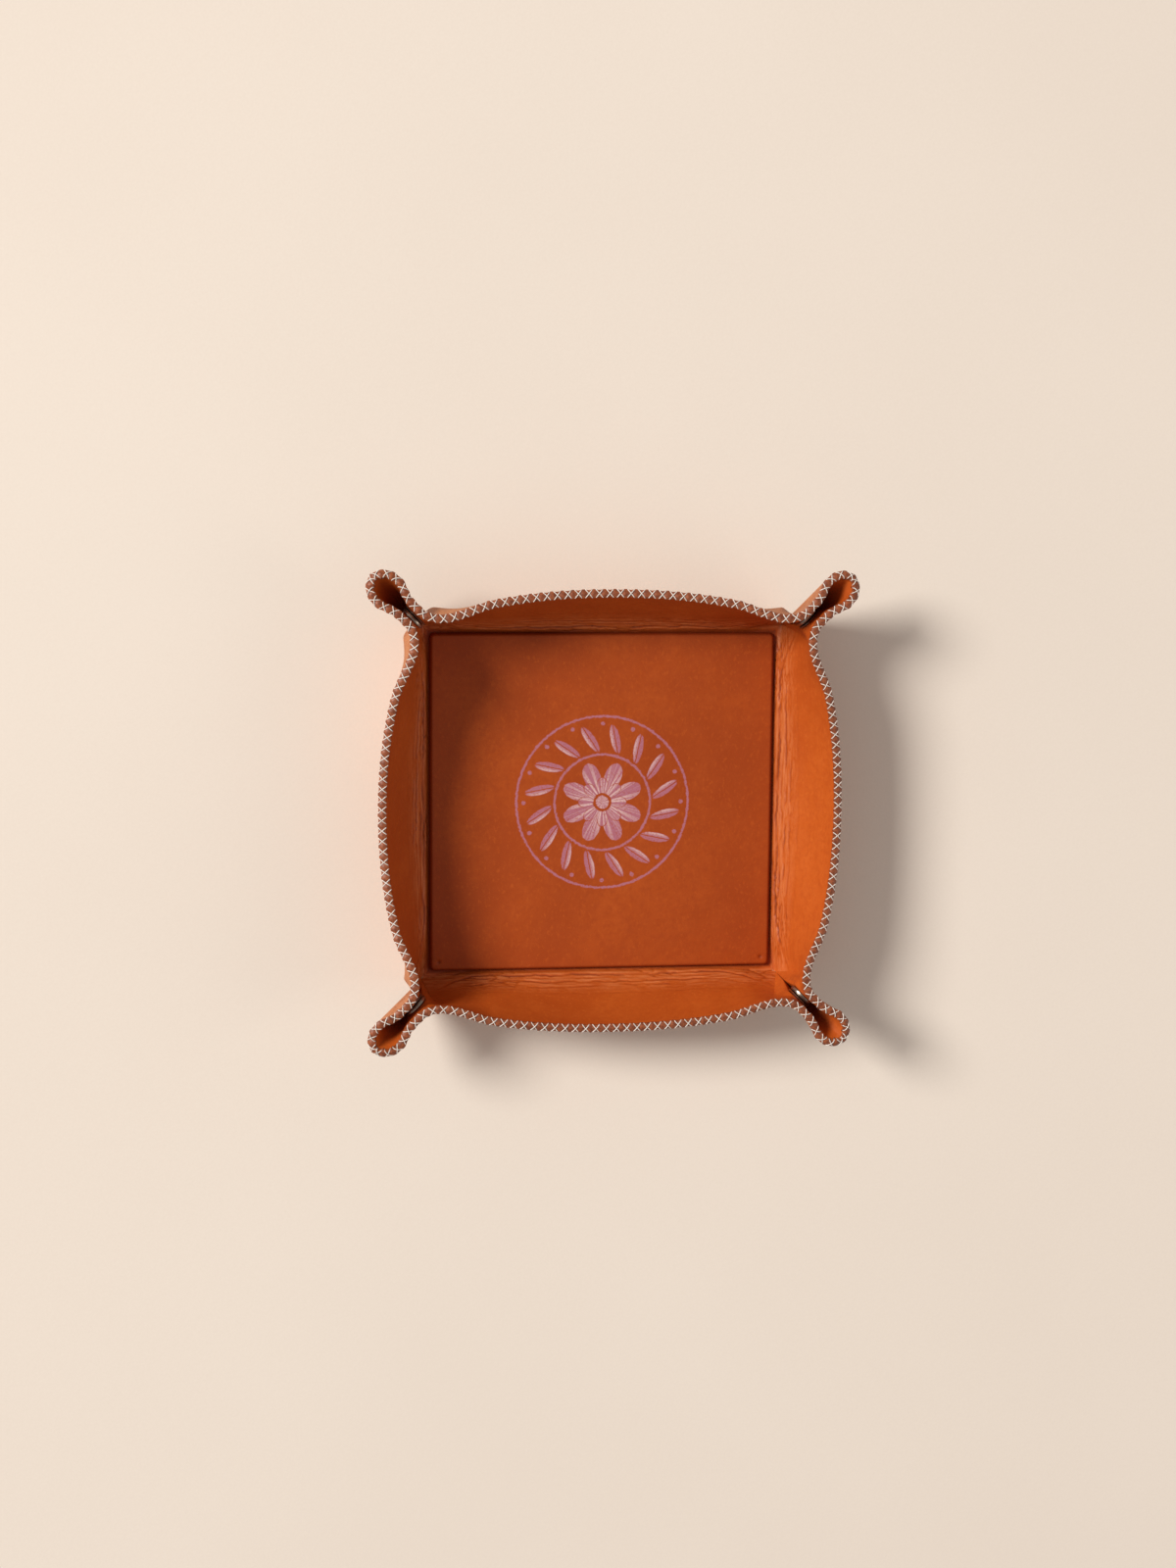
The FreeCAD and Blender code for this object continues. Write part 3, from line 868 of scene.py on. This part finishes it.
# even steps along the lining's cut edge from the wall to the tip, with the way out of the leather
def earRim(side):
    seam, seamNormal, _ = sectionPoint(wallSection(side, 1 - wallSheet["seamReach"] / side.half), 1, 0)
    seam.x -= wallSheet["seamReach"]
    tipUp = earSheet["tipHeight"] - (tipNormal * sheetThick).z
    tipReach = earPlan(1)[0]

    def height(reach):
        start = reachOf(throatInner)
        return mixed(throatHeight, tipUp, (reach - start) / (tipReach - start))

    reach, gap = earPlan(0)
    neck = cornerPoint(reach, gap, height(reach))
    points = []
    count = earSheet["samples"]
    for index in range(count):
        step = index / count
        points.append(seam * (1 - step) ** 2 + throatInner * (2 * step * (1 - step)) + neck * step ** 2)
    for index in range(3 * count + 1):
        reach, gap = earPlan(index / (3 * count))
        points.append(cornerPoint(reach, gap, height(reach)))
    lengths = lengthsAlong(points)
    evenPoints = []
    place = 0
    for index in range(count + 1):
        target = lengths[-1] * index / count
        while place < len(points) - 2 and lengths[place + 1] < target:
            place += 1
        step = (target - lengths[place]) / max(lengths[place + 1] - lengths[place], 1e-9)
        evenPoints.append(points[place].lerp(points[place + 1], step))
    normals = []
    for index, point in enumerate(evenPoints):
        tangent = evenPoints[min(index + 1, count)] - evenPoints[max(index - 1, 0)]
        normals.append(tangent.cross(point).normalized() * -1)
    normals[-1] = tipNormal.copy()
    seamPart = earSheet["seamPart"]
    for index in range(count // seamPart):
        normals[index] = seamNormal.lerp(normals[index], smoothStep(index * seamPart / count)).normalized()
    return evenPoints, normals


def sampled(values, run):
    place = min(max(run, 0.0), 1.0) * (len(values) - 1)
    index = min(int(place), len(values) - 2)
    return values[index].lerp(values[index + 1], place - index)


snap = {
    "seat": 1.9 * mm,           # pressed ring round the snap
    "outerPress": 0.35,         # share of the pressing that shows on the backing
    "clearance": 0.1 * mm,
    "parting": 0.2 * mm,
    "flange": 0.8 * mm,
    "knob": 2 * mm,
    "knobRise": 1.4 * mm,
    "bore": 2.45 * mm,
    "rimRound": (0.3 * mm, 0.35 * mm),       # socket: in from the rim, and along the axis
    "rimHigh": 0.9 * mm,
    "rollAt": 1.1 * mm,
    "dishAt": 1.9 * mm,
    "dish": 0.12 * mm,
    "boreLip": (0.5 * mm, 0.4 * mm),
    "boreFloor": 0.6 * mm,
    "studRound": (0.25 * mm, 0.3 * mm),
    "studFace": 1.2 * mm,
    "waist": 0.85,                           # stud: shares of the knob's radius, and how far out
    "waistUp": 0.3 * mm,
    "knobUp": 0.75 * mm,
    "crown": (0.9, 1.15 * mm),
    "crownTop": 0.5,
    "steps": 40,
}
liningFace = neckSide(snapReach * throatHeight / snapHeight) * snapHeight / throatHeight
backingFace = liningFace + sheetThick


def earFan(rim, run, rise, depth, swell=0.0):
    points, normals = rim
    crown, depth = easedEdge(rise, depth, swell)
    inner = sampled(points, run)
    normal = sampled(normals, run).normalized()
    turn = math.pi / 4 * (1 - smoothStep(run * 2))
    root = cornerPoint(math.cos(turn), math.sin(turn), 0)
    foot = root * mixed(earSheet["innerRoot"], sheetThick, depth) + Vector((0, 0, earSheet["rootUp"]))
    top = inner + normal * (sheetThick * depth)
    bead = beadOf(swell, (1 - rise) * inner.length)
    point = foot.lerp(top, rise + crown) + normal * (bead * (2 * depth - 1))
    away = math.hypot(reachOf(point) - snapReach, point.z - snapHeight)
    press = 1 - smoothStep((away - snapRadius) / snap["seat"])
    if press > 0:    # flat under the snap
        flat = mixed(liningFace, backingFace, depth)
        press *= mixed(1, snap["outerPress"], smoothStep(depth))
        point += cornerPoint(0, (flat - sideOf(point)) * press, 0)
    return point


def earPoint(side, rim, run, rise, depth):
    return earPlace(side, rim, run, rise, depth)[0]


def earPlace(side, rim, run, rise, depth, swell=0.0):    # the same three for an ear
    point = earFan(rim, run, rise, depth, swell)
    fade = 1 - smoothStep(run / earSheet["fade"])
    shade = 0.0
    if fade > 0:
        footShare = wallSheet["footShare"]
        onWall, shade, _ = wallPlace(side, 1, footShare + rise * (1 - footShare), depth)
        point += (onWall - Vector((side.half, 0, 0)) - earFan(rim, 0, rise, depth)) * fade
        shade *= fade
    if depth < 0.5:
        away = (point - cornerPoint(snapReach, liningFace, snapHeight)).length
        acrossScale, upScale, sideScale = earSheet["pleats"]
        lines = noiseAt(run * acrossScale, rise * upScale, side.offset * sideScale)
        fan = math.exp(-((away - earSheet["pullAt"]) / earSheet["pullWide"]) ** 2)
        fan *= min(run * earSheet["pullEnds"], 1) * min((1 - run) * earSheet["pullEnds"], 1)
        point -= cornerPoint(0, 1, 0) * (earSheet["pull"] * lines * fan * (1 - 2 * depth))
        # painted shade in the hollows of the pleats
        shade = max(shade, -lines * fan * creases["shade"])
        # painted shade inside the loop, darker deeper down and further out
        hollow = smoothStep((1 - rise) / earSheet["hollowUp"]) * (1 - 2 * depth)
        hollow *= smoothStep((run - earSheet["hollowStart"]) / earSheet["hollowSoft"])
        shade = max(shade, earSheet["hollowShade"] * hollow)
        span = earSheet["squeezeHigh"] - earSheet["squeezeLow"]
        squeeze = 1 - smoothStep((point.z - earSheet["squeezeLow"]) / span)
        squeeze *= earSheet["squeeze"] * (1 - 2 * depth) * smoothStep(run / earSheet["squeezeStart"])
        point -= cornerPoint(0, max(sideOf(point), 0) * squeeze, 0)
    lap = earSheet["tipLap"] * smoothStep((run - earSheet["lapStart"]) / (1 - earSheet["lapStart"]))
    point -= cornerPoint(0, lap, 0)
    return point, shade, burnished((1 - rise) * sampled(rim[0], run).length)


earRims = {side.name: earRim(side) for side in sides}
for side in sides:
    rimHoles = stitchPlaces(lambda run: earPoint(side, earRims[side.name], run, 1, 0.5))
    stitchRuns[side.name + "_ear"] = rimHoles


def earBlend(piece, side, end):
    way = Vector((math.cos(math.pi / 8), math.sin(math.pi / 8), 0))
    blendStart = side.place(way * earSheet["blendStart"], end)
    blendEnd = side.place(way * earSheet["blendEnd"], end)
    "ear_" + side.ear(end)
    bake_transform(piece)


def makeEar(side, end):
    rim = earRims[side.name]

    def shape(run, rise, depth):
        point, shade, band = earPlace(side, rim, run, 1 - (1 - rise) ** earSheet["spread"], depth,
                                      edgeSwell(side.name + "_ear", run))
        return side.place(point, end), shade, band

    name = side.ear(end)
    piece = leatherBlock("ear_leather_" + name, earSheet["columns"], earSheet["rows"], shape, leatherCoat)
    earBlend(piece, side, end)
    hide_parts("ear_backing_" + name, "ear_lining_" + name)


for side in sides:
    for end in (1, -1):
        makeEar(side, end)
print("ears made")


# base: the stiff panel with its rounded shoulder
basePanel = {
    "half": (halfWidth + wallSheet["grooveAt"], halfDepth + wallSheet["grooveAt"]),
    "cornerRound": 2.4 * mm,
    "shoulder": 1.5 * mm,
    "grooveUp": 2.3 * mm,       # height of the panel's edge in the groove
    "segments": 150,
    "unevenness": 0.10 * mm,
    "unevenLong": 31 * mm,
    "shadeWide": 1.3 * mm,      # painted shade along the edge beside the groove
    "shade": 0.62,
    "dimple": 0.6 * mm,
    "dimpleRadius": 0.75 * mm,
    "dimpleInset": 4.2 * mm,
}


# moves a place on a rectangle into one with round corners, and gives its distance from the edge
def roundedEdge(x, y):
    halfX, halfY = basePanel["half"]
    radius = basePanel["cornerRound"]
    cornerX = max(abs(x) - (halfX - radius), 0) / radius
    cornerY = max(abs(y) - (halfY - radius), 0) / radius
    if cornerX > 0 and cornerY > 0:
        roundX = cornerX * math.sqrt(1 - cornerY * cornerY / 2)
        roundY = cornerY * math.sqrt(1 - cornerX * cornerX / 2)
        x = math.copysign(halfX - radius + roundX * radius, x)
        y = math.copysign(halfY - radius + roundY * radius, y)
        return x, y, radius * (1 - math.hypot(roundX, roundY))
    return x, y, radius * (1 - max(cornerX, cornerY))


def makeBase():
    halfX, halfY = basePanel["half"]

    def shape(across, deep, depth):
        x = halfX * math.sin((across - 0.5) * math.pi)
        y = halfY * math.sin((deep - 0.5) * math.pi)
        x, y, inset = roundedEdge(x, y)
        low = min(max(inset, 0) / basePanel["shoulder"], 1)
        top = mixed(basePanel["grooveUp"], panelTop, math.sqrt(1 - (1 - low) ** 2))
        uneven = noiseAt(x / basePanel["unevenLong"], y / basePanel["unevenLong"], 4)
        top += basePanel["unevenness"] * uneven * low
        # painted shade along the groove
        shade = math.exp(-(max(inset, 0) / basePanel["shadeWide"]) ** 2)
        for place in (-1, 1):
            spotX = place * (halfX - basePanel["dimpleInset"])
            spotY = -halfY + basePanel["dimpleInset"]
            near = math.hypot(x - spotX, y - spotY) / basePanel["dimpleRadius"]
            top -= basePanel["dimple"] * math.exp(-near * near)
            # painted shade in the dimple
            shade = max(shade, math.exp(-near * near))
        return Vector((x, y, top * (1 - depth))), basePanel["shade"] * shade * (1 - depth), 0.0

    coat = [printedLining, backing, lining]
    piece = leatherBlock("base_leather", basePanel["segments"], basePanel["segments"], shape, coat)
    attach(piece, "base")
    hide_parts("base_backing", "base_board", "base_lining")


# the leather that is gathered into pleats under each corner
gatherKnob = {
    "out": 1.0 * mm,            # from the corner point, along the diagonal
    "radius": 2.7 * mm,
    "low": 0.1 * mm,
    "high": 3.15 * mm,
    "pleats": 7,
    "pleatDeep": 0.09,
    "segments": 42,
    "rings": 20,
}


def makeGather(side):    # where this side ends and the next one starts
    bm = bmesh.new()
    segments = gatherKnob["segments"]
    bmesh.ops.create_uvsphere(bm, u_segments=segments, v_segments=gatherKnob["rings"], radius=1)
    for vert in bm.verts:
        turn = math.atan2(vert.co.y, vert.co.x) * gatherKnob["pleats"]
        pleat = 1 + gatherKnob["pleatDeep"] * math.cos(turn) * (1 - vert.co.z ** 2)
        flat = Vector((vert.co.x, vert.co.y, 0)) * (gatherKnob["radius"] * pleat)
        height = mixed(gatherKnob["low"], gatherKnob["high"], (vert.co.z + 1) / 2)
        vert.co = side.place(flat + cornerPoint(gatherKnob["out"], 0, height), 1)
    piece = newPiece("corner_gather_" + side.name + "_" + side.neighbour[1], bm, [backing])
    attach(piece, "base")


makeBase()
for side in sides:
    makeGather(side)
print("base made")


# threads of the cross stitching
# from a hole in the lining over the edge to a hole in the backing: the second half mirrors the first
def threadRoute(point, start, end, lift):
    height = sheet["height"]
    hole = 1 - stitch["inset"] / height
    over = 1 + stitch["over"] / height
    rise = 1 + (stitch["over"] + lift) / height
    half = [
        (0, hole, 0.14),
        (0.08, mixed(hole, 1, 0.25), 0.05),
        (0.15, mixed(hole, 1, 0.6), -stitch["proud"]),
        (0.25, over, 0.06),
    ]
    otherHalf = [(1 - step, up, 1 - depth) for step, up, depth in reversed(half)]
    route = half + [(0.5, rise, 0.5)] + otherHalf
    return [point(mixed(start, end, step), up, depth) for step, up, depth in route]


def makeThreads(name, point, runs, holesAtStart):
    curve = bpy.data.curves.new(name, "CURVE")
    curve.dimensions = "3D"
    curve.bevel_depth = stitch["radius"]
    curve.bevel_resolution = 1
    curve.resolution_u = 2
    curve.use_fill_caps = True
    for start, end in zip(runs, runs[1:]):
        for first, last, lift in ((start, end, 0), (end, start, stitch["lift"])):
            route = threadRoute(point, first, last, lift)
            spline = curve.splines.new("NURBS")
            spline.points.add(len(route) - 1)
            for knot, place in zip(spline.points, route):
                knot.co = (*place, 1)
            spline.order_u = 3
            spline.use_endpoint_u = True
    drawn = bpy.data.objects.new(name + "_line", curve)
    bpy.context.scene.collection.objects.link(drawn)
    mesh = bpy.data.meshes.new_from_object(drawn.evaluated_get(bpy.context.evaluated_depsgraph_get()))
    bpy.data.objects.remove(drawn)
    bm = bmesh.new()
    bm.from_mesh(mesh)
    for face in bm.faces:
        face.material_index = 0
    hole = 1 - stitch["inset"] / sheet["height"]
    for run in runs if holesAtStart else runs[1:]:
        for depth in (0, 1):
            addHole(bm, point(run, hole, depth), point(run, hole, 0.5))
    return newPiece(name, bm, [thread, stitchHole])


def addHole(bm, place, inside):    # a pit in the leather's face, near black with painted shade
    way = (place - inside).normalized()
    turn = way.to_track_quat("Z", "Y").to_matrix().to_4x4()
    deep = stitch["holeDeep"]
    centre = Matrix.Translation(place - way * (deep / 2 - stitch["holeProud"])) @ turn
    pit = bmesh.ops.create_cone(bm, cap_ends=True, segments=stitch["holeSides"], radius1=stitch["hole"] / 2,
                                radius2=stitch["hole"], depth=deep, matrix=centre)
    faces = {face for vert in pit["verts"] for face in vert.link_faces}
    for face in faces:
        face.material_index = 1


def pastRim(place, up):    # straight on above the rim, where there is no leather
    rim, below = 0.99, 0.97
    point = place(min(up, rim))
    if up > rim:
        point += (point - place(below)) * ((up - rim) / (rim - below))
    return point


def makeWallThread(side):
    def onWall(run, up, depth):
        def place(rise):
            return wallPoint(side, 2 * run - 1, mixed(wallSheet["footShare"], 1, rise), depth)

        return trayPoint(side, pastRim(place, up))

    piece = makeThreads("wall_thread_" + side.name, onWall, stitchRuns[side.name], True)
    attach(piece, side.body)
    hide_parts("wall_stitching_" + side.name)


def makeEarThread(side, end):
    def onEar(run, up, depth):
        point = pastRim(lambda rise: earPoint(side, earRims[side.name], run, rise, depth), up)
        return side.place(point, end)

    piece = makeThreads("ear_thread_" + side.ear(end), onEar, stitchRuns[side.name + "_ear"], False)
    earBlend(piece, side, end)
    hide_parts("ear_stitching_" + side.ear(end))


for side in sides:
    makeWallThread(side)
    for end in (1, -1):
        makeEarThread(side, end)
print("stitching made")


# press snaps, as half profiles: distance from the axis, and from the diagonal to the half that has the piece
def socketProfile():
    seat = liningFace - snap["clearance"]
    front = snap["flange"] + snap["clearance"] + snap["parting"] - liningFace
    radius = snapRadius
    rimIn, rimDown = snap["rimRound"]
    lipOut, lipDown = snap["boreLip"]
    bore = snap["bore"]
    return [
        (0, seat),
        (radius - rimIn, seat),
        (radius, seat - rimDown),
        (radius, front + snap["rimHigh"]),
        (radius - rimIn, front + rimDown),
        (radius - snap["rollAt"], front),
        (radius - snap["dishAt"], front + snap["dish"]),
        (bore + lipOut, front),
        (bore, front + lipDown),
        (bore, seat - snap["boreFloor"]),
        (0, seat - snap["boreFloor"]),
    ]


def studProfile():
    seat = liningFace - snap["clearance"]
    front = seat - snap["flange"]
    radius = snapRadius
    knob = snap["knob"]
    roundIn, roundDown = snap["studRound"]
    crownShare, crownUp = snap["crown"]
    return [
        (0, seat),
        (radius - roundIn, seat),
        (radius, seat - roundDown),
        (radius - roundDown, front + snap["dish"]),
        (radius - snap["studFace"], front),
        (knob * snap["waist"], front),
        (knob * snap["waist"], front - snap["waistUp"]),
        (knob, front - snap["knobUp"]),
        (knob * crownShare, front - crownUp),
        (knob * snap["crownTop"], front - snap["knobRise"]),
        (0, front - snap["knobRise"]),
    ]


def makeSnap(kind, profile, corner, side, end):
    centre = side.place(cornerPoint(snapReach, 0, snapHeight), end)
    axis = side.turned(cornerPoint(0, 1, 0), end).normalized()
    bm = bmesh.new()
    verts = [bm.verts.new(centre + Vector((0, 0, 1)) * radius + axis * depth) for radius, depth in profile]
    rungs = [bm.edges.new(pair) for pair in zip(verts, verts[1:])]
    bmesh.ops.spin(bm, geom=verts + rungs, cent=centre, axis=axis, angle=math.tau, steps=snap["steps"],
                   use_merge=True)
    bmesh.ops.remove_doubles(bm, verts=bm.verts, dist=0.001 * mm)
    piece = newPiece("snap_" + kind + "_metal_" + corner, bm, [snapMetal], 40)
    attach(piece, "ear_" + side.ear(end))
    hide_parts("snap_" + kind + "_" + corner)


for index, side in enumerate(sides):
    following = sides[(index + 1) % len(sides)]
    corner = side.name + "_" + following.name
    makeSnap("stud", studProfile(), corner, side, 1)
    makeSnap("socket", socketProfile(), corner, following, -1)
    for hidden in ("snap_post_", "snap_cap_"):    # flat heads between the two layers
        for slot in frame["nodes"][hidden + corner].material_slots:
            slot.material = snapMetal
print("snaps made")


# floor, light and camera
studio = {
    "floor": (0.80, 0.715, 0.635, 1),
    "floorPale": (0.86, 0.78, 0.70, 1),
    "floorAt": -0.3 * mm,
    "floorSize": 6.0,
    "world": (1.0, 0.93, 0.885, 1),
    "worldStrength": 0.33,
    "keyPower": 392.0,
    "keySize": 2.1,
    "keyDistance": 6.0,
    "keyUp": math.radians(38),
    "keyTurn": math.radians(156),   # from the right, round by the back
    "keyColour": (1.0, 0.96, 0.90),
    "fillPower": 9.0,
    "fillSize": 1.4,
    "fillDistance": 2.6,
    "fillUp": math.radians(28),
    "fillTurn": math.radians(-12),
    "fillColour": (1.0, 0.89, 0.81),
}


def makeFloor():
    bm = bmesh.new()
    bmesh.ops.create_grid(bm, x_segments=2, y_segments=2, size=studio["floorSize"] / 2,
                          matrix=Matrix.Translation((0, 0, studio["floorAt"])))
    look = Look("paleFloor")
    weave = look.noise(900, 3, 0.6)
    cloud = look.noise(4, 3, 0.5)
    paler = (weave * 0.4 + cloud * 0.6).ramp(0.3, 0.7) * 0.5
    colour = look.colour(paler, studio["floor"], studio["floorPale"])
    floor = newPiece("floor", bm, [look.finish(colour, 0.9, look.bump(weave, 0.15, 0.3 * mm))])


def makeLamp(name):
    data = bpy.data.lights.new(name + "Lamp", "AREA")
    data.shape = "DISK"
    data.size = studio[name + "Size"]
    data.energy = studio[name + "Power"]
    data.color = studio[name + "Colour"]
    turn = studio[name + "Turn"]
    up = studio[name + "Up"]
    way = Vector((math.cos(up) * math.cos(turn), math.cos(up) * math.sin(turn), math.sin(up)))
    lamp = bpy.data.objects.new(name + "Lamp", data)
    lamp.location = way * studio[name + "Distance"]
    lamp.rotation_euler = way.to_track_quat("Z", "Y").to_euler()
    bpy.context.scene.collection.objects.link(lamp)


makeFloor()
makeLamp("key")
makeLamp("fill")
world = bpy.data.worlds.new("studioWorld")
world.use_nodes = True
world.node_tree.nodes["Background"].inputs["Color"].default_value = studio["world"]
world.node_tree.nodes["Background"].inputs["Strength"].default_value = studio["worldStrength"]
bpy.context.scene.world = world
bpy.context.scene.view_settings.view_transform = "Standard"

# the photograph looks down into the tray, from a little to the left and above its middle
camera = {
    "distance": 1.10,
    "left": math.radians(7.6),
    "above": math.radians(7.6),
    "roll": math.radians(0.45),
    "scale": 0.4498 * mm,           # at the base, for each of the picture's 1200 by 1600 points
    "trayAt": (613, 817),
    "middle": (600, 800),
    "pictureHigh": 1600,
    "sensor": 36.0,
    "clipStart": 0.05,
}


def makeCamera():
    data = bpy.data.cameras.new("pictureCamera")
    data.sensor_width = camera["sensor"]
    halfView = camera["pictureHigh"] * camera["scale"] / 2
    data.lens = camera["sensor"] / 2 * camera["distance"] / halfView
    back = Vector((-math.sin(camera["left"]), math.sin(camera["above"]), 1)).normalized()
    level = Vector((0, 1, 0)).cross(back).normalized()
    right = level * math.cos(camera["roll"]) + back.cross(level) * math.sin(camera["roll"])
    up = back.cross(right)
    places = zip(camera["middle"], camera["trayAt"])
    offset = [(middle - tray) * camera["scale"] for middle, tray in places]
    aim = right * offset[0] - up * offset[1]
    eye = aim + back * camera["distance"]
    turn = Matrix((right, up, back)).transposed().to_4x4()
    lens = bpy.data.objects.new("pictureCamera", data)
    lens.matrix_world = Matrix.Translation(eye) @ turn
    data.clip_start = camera["clipStart"]
    bpy.context.scene.collection.objects.link(lens)
    bpy.context.scene.camera = lens


makeCamera()
print("studio made")
